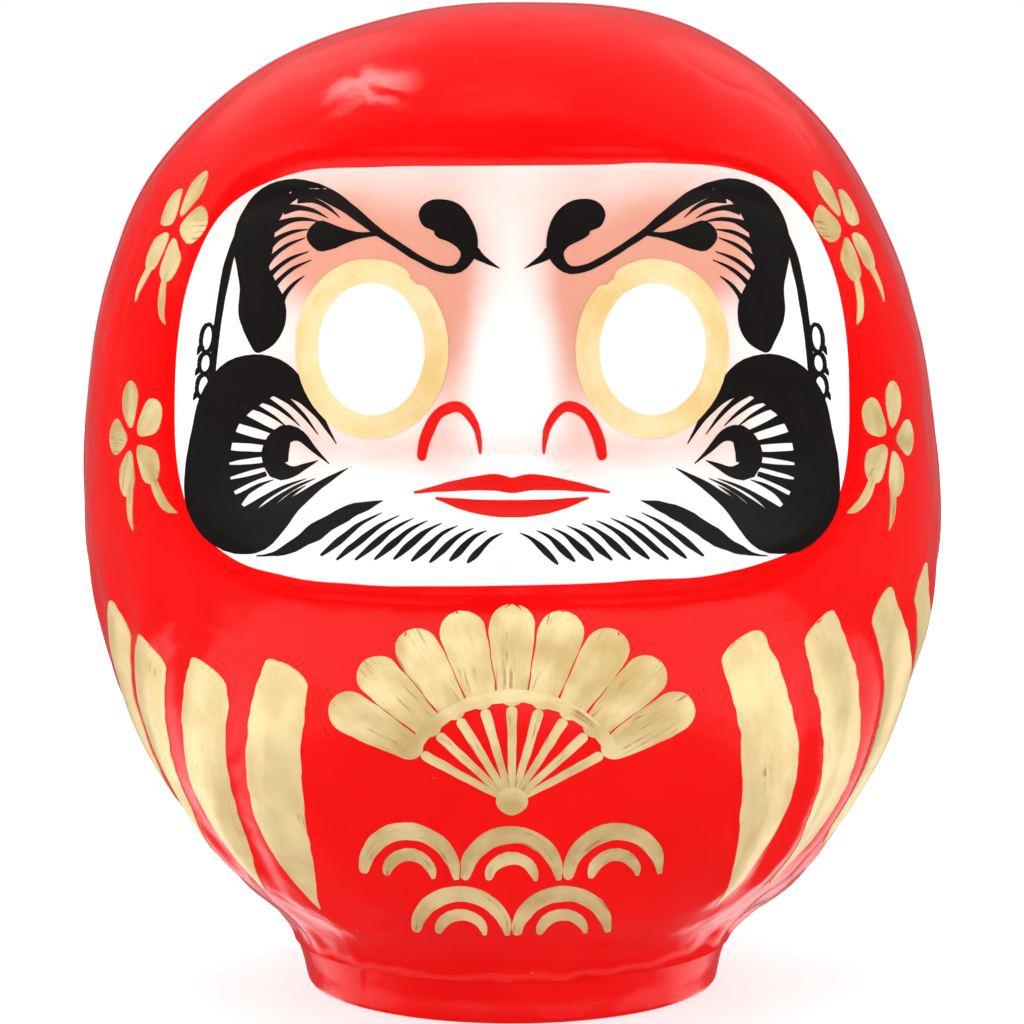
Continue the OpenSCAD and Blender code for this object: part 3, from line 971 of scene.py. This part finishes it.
def feathers(bm, side, pairs, widths, bow, lift):
    """One tapered stroke for each (root, tip), which bends by bow of its length."""
    for i, (root, tip) in enumerate(pairs):
        root, tip = Vector(root), Vector(tip)
        along = tip - root
        aside = Vector((along.y, -along.x)) * bow
        path = [root, root.lerp(tip, 0.33) + aside, root.lerp(tip, 0.67) + aside, tip]
        stroke(bm, mirrored(side, path), widths, lift + 0.01 * (i % 2), round_ends=NEITHER, fine=0.9)


# %% Paint the brows
WING_FEATHERS = [
    ((60.5, 244.6), (48.2, 239.6)), ((64.6, 241.4), (51.6, 239.4)), ((67.4, 236.4), (54.0, 238.4)),
    ((69.8, 230.2), (57.2, 236.2)), ((71.2, 223.4), (58.0, 233.9)), ((71.0, 219.2), (57.0, 230.2)),
    ((69.6, 216.0), (56.2, 227.9)), ((65.6, 213.6), (58.2, 223.4)),
]


def brow_strokes(bm, side):
    crane = [
        (25.5, 239), (21.5, 240.4), (16.8, 238.6), (12.9, 234.2), (12.2, 229.8), (15.5, 226.1), (21, 226.6),
        (26.5, 229.4), (32, 232.7), (37.6, 236.2), (43.6, 240.6), (50, 244.6), (56.4, 247.2), (62.6, 247),
        (68.2, 243.6), (71.8, 238), (73.2, 231.5), (73.2, 225.4), (71.6, 220.2), (70.4, 215.2), (70, 210.4),
        (70.6, 206), (71.8, 202),
    ]
    swell = [
        3.4, 4.6, 5.2, 3.5, 2.1, 1.2, 1.0, 1.0, 1.0, 1.1, 1.5, 1.9, 2.3, 3.3, 4.8, 5.5, 5.9, 4.7, 5.4, 6.8,
        6.6, 4.6, 1.0,
    ]
    stroke(bm, mirrored(side, crane), swell, INK_LIFT, round_ends=BOTH, sway=0.2)
    stroke(bm, mirrored(side, [(11.2, 231.5), (8.6, 229.3), (3.4, 226.4)]), [2.2, 1.1, 0.1], INK_LIFT + 0.01)
    breast = [(57.6, 234.4), (54, 234.5), (50, 234.5), (46, 234.7), (42, 235), (36.8, 235.7)]
    stroke(bm, mirrored(side, breast), [2.4, 4.2, 3.3, 1.8, 0.8, 0.6], INK_LIFT + 0.02)
    feathers(bm, side, WING_FEATHERS, [1.5, 0.72, 0.5, 0.1], 0.09, INK_LIFT + 0.01)


for side, word in SIDES:
    painted(word + "_crane_brow", ink_black, "ink_black", word + "_brow", brow_strokes, side)

# %% [markdown]
# ## Whiskers like tortoises
# The whisker fills the cheek: a thick coil for the shell, the dark curl of the head inside it, and feathers
# all round. Those in the middle reach the head, and the rest end in the air. By the edge of the face a line
# with small loops hangs down like a plaited lock.

# %% Paint the whiskers
SHELL_FEATHERS = [
    ((67.0, 192.2), (53.8, 180.3)), ((71.6, 190.2), (59.0, 182.4)), ((75.8, 188.2), (62.8, 182.0)),
    ((77.6, 160.2), (66.6, 167.2)), ((74.6, 157.2), (57.2, 168.0)), ((70.6, 157.0), (54.6, 168.2)),
    ((67.2, 157.0), (57.4, 166.0)),
]
HEAD_FEATHERS = [
    ((79.2, 184.8), (66.0, 180.2)), ((80.4, 178.6), (68.0, 177.3)), ((81.0, 172.8), (69.0, 174.2)),
    ((81.2, 168.4), (69.2, 171.2)), ((80.6, 164.0), (68.6, 168.8)),
]


def loop_points(cx, cz, rx, rz, lean=0.0, steps=10):
    for i in range(steps + 1):
        turn = 2 * math.pi * i / steps
        x, z = rx * math.cos(turn), rz * math.sin(turn)
        yield cx + x + lean * z, cz + z


def whisker_strokes(bm, side):
    coil = [
        (48.6, 177.9), (53.5, 185.4), (59.5, 192), (67, 195.4), (75.5, 193.2), (81.6, 186.8), (84.6, 178),
        (86, 168.5), (85, 159.5), (79.6, 153.2), (72.5, 152.3), (66.4, 155.8), (60, 161.2), (53, 166.6),
        (45.4, 171.4),
    ]
    swell = [0.1, 1.1, 2.9, 5.6, 7.4, 6.9, 6.2, 6.7, 7.7, 7.4, 6.2, 4.0, 1.9, 1.1, 0.1]
    stroke(bm, mirrored(side, coil), swell, INK_LIFT, round_ends=NEITHER, sway=0.2)
    head = [
        (50.6, 172.4), (55, 176.2), (59, 179.8), (63.3, 179.7), (65.9, 175.2), (65.4, 170.4), (61.4, 169.7),
        (57.5, 171.4), (53.8, 173.2),
    ]
    curl = [0.1, 0.8, 1.6, 2.8, 3.8, 3.3, 1.6, 0.8, 0.1]
    stroke(bm, mirrored(side, head), curl, INK_LIFT + 0.02, round_ends=NEITHER, fine=1.0)
    feathers(bm, side, SHELL_FEATHERS, [1.7, 0.8, 0.5, 0.1], 0.05, INK_LIFT + 0.01)
    feathers(bm, side, HEAD_FEATHERS, [2.0, 1.35, 0.9, 0.7], 0.0, INK_LIFT + 0.01)
    lock = [(77.4, 235.5), (80, 227.5), (81.7, 219.5), (83, 211), (83.9, 203), (84.6, 195), (85.6, 188)]
    stroke(bm, mirrored(side, lock), [0.6, 1.2, 1.15, 1.05, 0.95, 0.95, 0.9], INK_LIFT + 0.01)
    for x, z, wide, high in ((86.2, 205.2, 1.9, 3.9), (86.7, 198.2, 1.9, 2.9), (87.2, 191.8, 2.0, 3.3)):
        ring = list(loop_points(x, z, wide, high, -0.1))
        stroke(bm, mirrored(side, ring), [0.6] * len(ring), INK_LIFT + 0.02, round_ends=NEITHER, fine=0.8)
        barb = [(x + 1.4, z - high * 0.5), (x + 2.3, z - high * 0.8), (x + 3.0, z - high * 1.25)]
        stroke(bm, mirrored(side, barb), [0.8, 0.7, 0.15], INK_LIFT + 0.01, round_ends=NEITHER, fine=0.8)


for side, word in SIDES:
    painted(word + "_tortoise_whisker", ink_black, "ink_black", word + "_whisker", whisker_strokes, side)

# %% [markdown]
# ## Beard
# Under the mouth hang short strokes, thin where the brush lands and a little fuller where it lifts. One
# long leaf-shaped stroke sweeps out over them on each side.

# %% Paint the beard
BEARD_TOP_Z = FACE_LOW.z + 19.5
BEARD_LOW_Z = FACE_LOW.z + 6


def beard_strokes(bm, side):
    sweep = [(35.6, 4.2), (41, 2.3), (46, 0.2), (50.5, -2.7), (54.5, -5.4), (58.5, -8.3), (62.5, -10.6),
             (66.5, -12.3), (71.8, -13.5)]
    leaf = [(x, BEARD_TOP_Z + z) for x, z in sweep]
    swell = [0.1, 1.4, 2.1, 2.2, 2.2, 2.0, 1.5, 0.8, 0.1]
    stroke(bm, mirrored(side, leaf), swell, INK_LIFT + 0.01, round_ends=NEITHER, sway=0.5)
    for i in range(9):
        hand = noise.noise(Vector((i * 1.7, side * 3.3, 0.4)))
        top = Vector((2.4 + 4.15 * i + hand, BEARD_TOP_Z - 4 + 0.6 * i))
        low = Vector((12.4 + 5.15 * i - hand, BEARD_LOW_Z + 1 + 1.4 * hand))
        path = [top, top.lerp(low, 0.3) + Vector((0.5, 0.7)), top.lerp(low, 0.7) + Vector((0.3, 0.3)), low]
        widths = [0.1, 0.55, 0.95 + 0.2 * hand, 0.3]
        stroke(bm, mirrored(side, path), widths, INK_LIFT, round_ends=FINISH, sway=0.3, fine=0.9)


for side, word in SIDES:
    painted(word + "_beard", ink_black, "ink_black", word + "_moustache", beard_strokes, side)

# %% [markdown]
# ## Eyes
# A new doll's eyes are left blank, for its owner to fill in. Each is a clean white oval inside a wide ring
# that is brushed round in pale gold, over the ends of the brow and the whisker. The ring is a stroke along
# an ellipse, laid on in two passes that don't quite meet.

# %% Paint the eyes


def eye_disc(bm, side):
    turns = [2 * math.pi * i / 72 for i in range(72)]
    outline = [
        (side * EYE_X + (EYE_A + 1.2) * math.cos(t), EYE_Z + (EYE_B + 1.2) * math.sin(t)) for t in turns
    ]
    bm.loops.layers.uv.new("stroke")
    patch(bm, outline, 1.7)
    close_film(bm, put_from_front, INK_LIFT + 0.03, PAINT_SINK)


def ring_strokes(bm, side):
    for a, b, grow, wide, lift in ((128, 484, 0.53, 0.55, 0.6), (-20, 318, 0.4, 0.42, 0.65)):
        turns = [math.radians(a + (b - a) * i / 20) for i in range(21)]
        wide_r, high_r = EYE_A + RING_W * grow, EYE_B + RING_W * grow
        path = [(side * (EYE_X + wide_r * math.cos(t)), EYE_Z + high_r * math.sin(t)) for t in turns]
        stroke(bm, path, [RING_W * wide] * 21, lift, round_ends=BOTH, sway=0.16)


for side, word in SIDES:
    painted(word + "_blank_eye", eye_white, "eye_white", word + "_eye", eye_disc, side)
    painted(word + "_gold_ring", ring_paint, "gold_paint", word + "_eye_ring", ring_strokes, side)

# %% [markdown]
# ## Nose and mouth
# The nose is carved, so it needs only two red arcs over the wings of the nostrils. They lie a little
# thicker than the ink, because the wings are steep. The mouth is a calm upper and lower lip, each fuller in
# the middle, on the line that divides the lower third of the face by three.

# %% Paint the nostrils and the mouth


def nostril_strokes(bm, side):
    bow = ((8.8, -0.5), (9.8, 7), (14.2, 11.8), (20, 10), (23.6, 3.6), (25, -3))
    arc = [(x, NOSE_BASE_Z + z) for x, z in bow]
    swell = [0.3, 1.1, 1.4, 1.5, 1.6, 1.2]
    stroke(bm, mirrored(side, arc), swell, INK_LIFT + 0.15, round_ends=FINISH, fine=0.7)


def mouth_strokes(bm):
    half = EYE_X - EYE_A + 3
    upper = [(-1.0, 0.4), (-0.55, 2.6), (-0.2, 3.5), (0, 2.7), (0.2, 3.5), (0.55, 2.6), (1.0, 0.4)]
    lower = [(-0.78, -1.0), (-0.4, -3.0), (0, -3.7), (0.4, -3.0), (0.78, -1.0)]
    upper_swell = [0.3, 1.5, 2.2, 2.1, 2.2, 1.5, 0.3]
    lower_swell = [0.3, 1.8, 2.4, 1.8, 0.3]
    for lip, widths, lift in ((upper, upper_swell, 0), (lower, lower_swell, 0.02)):
        path = [(half * x, MOUTH_Z + z) for x, z in lip]
        stroke(bm, path, widths, INK_LIFT + lift, round_ends=NEITHER, fine=0.9)


for side, word in SIDES:
    painted(word + "_nostril_arc", lip_red, "lip_red", word + "_nostril", nostril_strokes, side)
painted("closed_mouth", lip_red, "lip_red", "mouth", mouth_strokes)

# %% [markdown]
# ## Gold folds of the robe
# Four broad leaves of gold on each side follow the carved folds. The brush lands at the top, which leaves a
# round, ragged head, bulges outwards, and lifts off in a thin tail near the foot.

# %% Paint the gold folds
# For each leaf, no two of them alike: the angle where it starts, how far it sweeps round, its top's height
LEAVES = {
    1: ((29.5, 14.5, 123), (42.2, 18.5, 125.5), (55.2, 22, 128.5), (68, 20, 132)),
    -1: ((29.3, 10.5, 115.5), (42.2, 12.3, 112.5), (54.5, 14, 115.5), (63.5, 16, 122)),
}


def fold_strokes(bm, side):
    for i, (start_deg, sweep_deg, top) in enumerate(LEAVES[side]):
        tail = FOLD_TAIL_Z + 2.5 * i * i
        hand = noise.noise(Vector((i * 3.1, side * 2.3, 0.7)))
        path = []
        for t in [k / 8 for k in range(9)]:
            deg = start_deg + fold_lean(t, sweep_deg) + 3 * hand * t * (1 - t)
            path.append((side * math.radians(deg) * BODY_R, top + (tail - top) * t))
        widths = [6.8, 8.6, 9.4, 10.2 + hand, 10.8 + hand, 10.8, 9.4, 6.0, 0.3]
        stroke(
            bm, path, widths, GOLD_LIFT + 0.02 * i, round_robe,
            round_ends=START, ragged=1.8, sway=0.7, fine=1.4, blunt=0.42,
        )


for side, word in SIDES:
    painted(word + "_gold_leaves", leaf_gold, "gold_paint", word + "_gold_folds", fold_strokes, side)

# %% [markdown]
# ## The gold ornament in front
# An open fan stands over rows of waves, both old signs of good fortune. The fan has a broad stroke for each
# fold of its paper, thin ribs below them, and a rivet. The waves are arcs, one inside the other.

# %% Paint the fan and the waves
WAVE_LOW, WAVE_HIGH = (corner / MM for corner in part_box("gold_waves"))
FAN_LOW, FAN_HIGH = (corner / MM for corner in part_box("gold_fan"))
WAVE_R = WAVE_HIGH.x / 3
FAN_R = (FAN_HIGH.z - FAN_LOW.z) / 1.14
FAN_PIVOT_Z = FAN_HIGH.z - FAN_R
FAN_SPREAD = 65.0
FAN_FOLDS = 9


def fan_strokes(bm):
    outer = FAN_SPREAD * 0.93
    for i in range(FAN_FOLDS):
        a = math.radians(90 - outer + 2 * outer * i / (FAN_FOLDS - 1))
        out = Vector((math.cos(a), math.sin(a)))
        base = Vector((0, FAN_PIVOT_Z))
        leaf = [base + out * FAN_R * k for k in (1.0, 0.84, 0.66, 0.5)]
        stroke(bm, leaf, [6.4, 6.2, 4.9, 3.4], GOLD_LIFT + 0.03 * (i % 2), from_front, BOTH, 2.0, 0.4)
        rib = [base + out * FAN_R * k for k in (0.5, 0.3, 0.06)]
        stroke(bm, rib, [1.5, 1.2, 0.9], GOLD_LIFT + 0.04, from_front, BOTH, 0.0, 0.2, 1.1)
    rim = [
        Vector((0, FAN_PIVOT_Z)) + Vector((math.cos(a), math.sin(a))) * FAN_R * 0.55
        for a in [math.radians(90 - FAN_SPREAD + FAN_SPREAD * k / 5) for k in range(11)]
    ]
    stroke(bm, rim, [1.9] * 11, GOLD_LIFT + 0.1, from_front, BOTH, 1.0, 0.4)
    rivet = [(-4.5, FAN_PIVOT_Z), (0, FAN_PIVOT_Z + 0.4), (4.5, FAN_PIVOT_Z)]
    stroke(bm, rivet, [3.6, 4.4, 3.6], GOLD_LIFT + 0.12, from_front, BOTH)


def wave_strokes(bm):
    turns = [math.pi * k / 8 for k in range(9)]
    swell = (0.5, 0.9, 1.1, 1.2, 1.2, 1.1, 1, 0.8, 0.3)
    for row in range(2):
        for i in range(row + 2):
            cx = (2 * i - row - 1) * WAVE_R
            cz = WAVE_LOW.z + 1 + row * WAVE_R * 1.4
            for r, half in ((WAVE_R - 1.2, 2.3), (WAVE_R * 0.46, 1.7)):
                path = [(cx - r * math.cos(t), cz + r * 1.15 * math.sin(t)) for t in turns]
                widths = [half * share for share in swell]
                stroke(bm, path, widths, GOLD_LIFT + 0.02 * i, from_front, START, 1.0, 0.3)


painted("gold_open_fan", gold_paint, "gold_paint", "gold_fan", fan_strokes)
painted("gold_wave_rows", gold_paint, "gold_paint", "gold_waves", wave_strokes)

# %% [markdown]
# ## Blossoms beside the face
# By each temple and each cheek is a plum blossom with a twig. A petal is one short pressed stroke, so five
# of them round a centre make the flower.

# %% Paint the blossoms


def blossom_strokes(bm, side, node):
    low, high = (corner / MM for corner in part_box(node))
    middle = (low + high) / 2
    turn = math.atan2(abs(middle.x), -middle.y)
    for cz, tilt, r in ((high.z - 17, 0.2, 16.5), (low.z + 22, -0.35, 17.5)):
        centre = Vector((turn * BODY_R, cz))
        for i in range(5):
            a = tilt + math.pi / 2 + 2 * math.pi * i / 5
            out = Vector((math.cos(a), math.sin(a)))
            petal = mirrored(side, [centre + out * r * k for k in (0.2, 0.42, 0.68, 1.0)])
            stroke(bm, petal, [1.4, 3.6, 5.4, 4.2], GOLD_LIFT + 0.02 * (i % 3), round_robe, BOTH, 0.8, 0.4)
        for a, long in ((tilt - 2.1, 1.75), (tilt - 1.25, 1.5)):
            out = Vector((math.cos(a), math.sin(a)))
            across = Vector((-out.y, out.x))
            bow = ((0.45, 0), (0.65, 1.4), (0.85, 1.2), (1.0, -0.8))
            twig = mirrored(side, [centre + out * r * k * long + across * b for k, b in bow])
            stroke(bm, twig, [1.0, 1.9, 1.5, 0.2], GOLD_LIFT + 0.07, round_robe, START, 0.0, 0.3)


for side, word in SIDES:
    node = word + "_gold_blossoms"
    painted(word + "_gold_plum", gold_paint, "gold_paint", node, blossom_strokes, side, node)

# %% [markdown]
# ## Floor, light and camera
# The doll stands on a white light table. Six large softboxes stand in a ring round it, so that the red is
# lit evenly from every side. They are hidden from reflections, and so is the table, because gloss needs its
# own plan: it mirrors a dim room with a pale ceiling behind, a bright table edge below eye level, which
# comes up higher in front, and darkness right below. The edges of those areas, broken by the dents, make
# the lacquer look wet. Two faint windows stand behind, and one thin lamp makes the highlight.

# %% Lay the light table
FLOOR_HALF = 1.7
# The table's own light, grey near the doll and white far out, and the distances (mm) between which it changes
TABLE_NEAR, TABLE_FAR = (0.55, 0.55, 0.55, 1), (1.1, 1.1, 1.1, 1)
TABLE_FADE = (350, 1300)

floor_bm = bmesh.new()
bmesh.ops.create_grid(floor_bm, x_segments=1, y_segments=1, size=FLOOR_HALF)
floor_mesh = bpy.data.meshes.new("floor")
floor_bm.to_mesh(floor_mesh)
floor_bm.free()
floor = bpy.data.objects.new("floor", floor_mesh)
floor.visible_glossy = False
bpy.context.scene.collection.objects.link(floor)
pale = Finish("pale_floor", Roughness=0.9, Specular_IOR_Level=0.1, Emission_Strength=1.0)
pale.set("Base Color", (0.5, 0.5, 0.5, 1))
_, (floor_x, floor_y, _) = pale.place()
far_out = (floor_x * floor_x + floor_y * floor_y).power(0.5).between(*TABLE_FADE)
pale.set("Emission Color", pale.mix(far_out, TABLE_NEAR, TABLE_FAR))
floor_mesh.materials.append(pale.material)
print("table:", 2 * FLOOR_HALF, "m wide")

# %% Build the room that the gloss mirrors
# How bright each part of the room is
DIM, CEILING, ZENITH, TABLE, BACK_WALL = 0.13, 0.2, 0.5, 1.3, 0.12

world = bpy.data.worlds.new("room")
bpy.context.scene.world = world
world.use_nodes = True
room = Nodes(world.node_tree)
heading = room.node("TexCoord")
split = room.node("SeparateXYZ", sockets={0: heading})
back = room.output(split, "Y")
up = room.output(split, "Z")
down = up * -1.0
behind = back.between(0.0, 0.05)
ceiling = up.between(0.2, 0.5) * behind * CEILING + up.between(0.965, 0.985) * behind * ZENITH
ahead = (back * -1.0).between(-0.1, 0.6)
table = (down + ahead * 0.23).between(0.36, 0.44) * (1 - down.between(0.54, 0.66)) * TABLE
back_wall = back.between(0.9, 1.0) * BACK_WALL
seen = room.node("LightPath")
glow = DIM + ceiling + table + back_wall
room.feed(world.node_tree.nodes["Background"].inputs["Strength"], seen + (1 - seen) * glow)
world.node_tree.nodes["Background"].inputs["Color"].default_value = (1, 1, 1, 1)
print("room:", len(world.node_tree.nodes), "nodes")

# %% Hang the lamps
AIM = Vector((0, 0, 0.150))
LAMP_RISE_DEG = 34
# Heading in degrees and power in watts of each softbox
SOFTBOXES = ((-35, 16), (35, 14), (95, 18), (155, 14), (-155, 14), (-95, 18))
WINDOWS_DEG = (-157, 152)
GLINT_FROM, GLINT_TO = Vector((-0.44, 0.47, 0.77)), Vector((-0.27, 0.24, 0.93))


def lamp(name, away, far, size, power, glossy, side_way=None):
    """An area lamp far metres from the doll's middle along away, turned to it, its length along side_way."""
    data = bpy.data.lights.new(name, "AREA")
    data.shape = "RECTANGLE"
    data.size, data.size_y = size
    data.energy = power
    thing = bpy.data.objects.new(name, data)
    turned_to = away.to_track_quat("Z", "Y").to_matrix()
    if side_way is not None:
        across = (side_way - away * side_way.dot(away)).normalized()
        turned_to = Matrix((across, away.cross(across), away)).transposed()
    thing.matrix_world = Matrix.Translation(away * far + AIM) @ turned_to.to_4x4()
    thing.visible_glossy = glossy
    thing.visible_camera = False
    bpy.context.scene.collection.objects.link(thing)


def towards(heading_deg, rise_deg):
    turn, rise = math.radians(heading_deg), math.radians(rise_deg)
    return Vector((math.sin(turn) * math.cos(rise), -math.cos(turn) * math.cos(rise), math.sin(rise)))


for k, (heading_deg, power) in enumerate(SOFTBOXES):
    lamp("softbox_%d" % k, towards(heading_deg, LAMP_RISE_DEG), 2.0, (1.0, 1.0), power, False)
for k, heading_deg in enumerate(WINDOWS_DEG):
    lamp("window_%d" % k, towards(heading_deg, LAMP_RISE_DEG), 1.6, (0.45, 0.7), 0.22, True)
glint = (GLINT_FROM + GLINT_TO).normalized()
lamp("highlight", glint, 1.4, (0.42, 0.012), 1.2, True, GLINT_TO - GLINT_FROM)
print("lamps:", len(SOFTBOXES), "softboxes,", len(WINDOWS_DEG), "windows and a highlight")

# %% Place the camera
CAMERA_FAR = 1200 * MM
CAMERA_RISE = math.radians(6.74)
SENSOR_W, LENS, SHIFT_UP = 36, 137.3, -0.0156
camera_data = bpy.data.cameras.new("camera")
camera = bpy.data.objects.new("camera", camera_data)
camera_data.sensor_width = SENSOR_W
camera_data.lens = LENS
camera_data.shift_y = SHIFT_UP
away = Vector((0, -math.cos(CAMERA_RISE), math.sin(CAMERA_RISE)))
turn_back = (-away).to_track_quat("-Z", "Y").to_matrix().to_4x4()
camera.matrix_world = Matrix.Translation(AIM + away * CAMERA_FAR) @ turn_back
bpy.context.scene.collection.objects.link(camera)
bpy.context.scene.camera = camera
bpy.context.scene.view_settings.view_transform = "Standard"

# %% Count the triangles
print("triangles:", sum(TRIANGLES.values()), "in", len(TRIANGLES), "pieces")
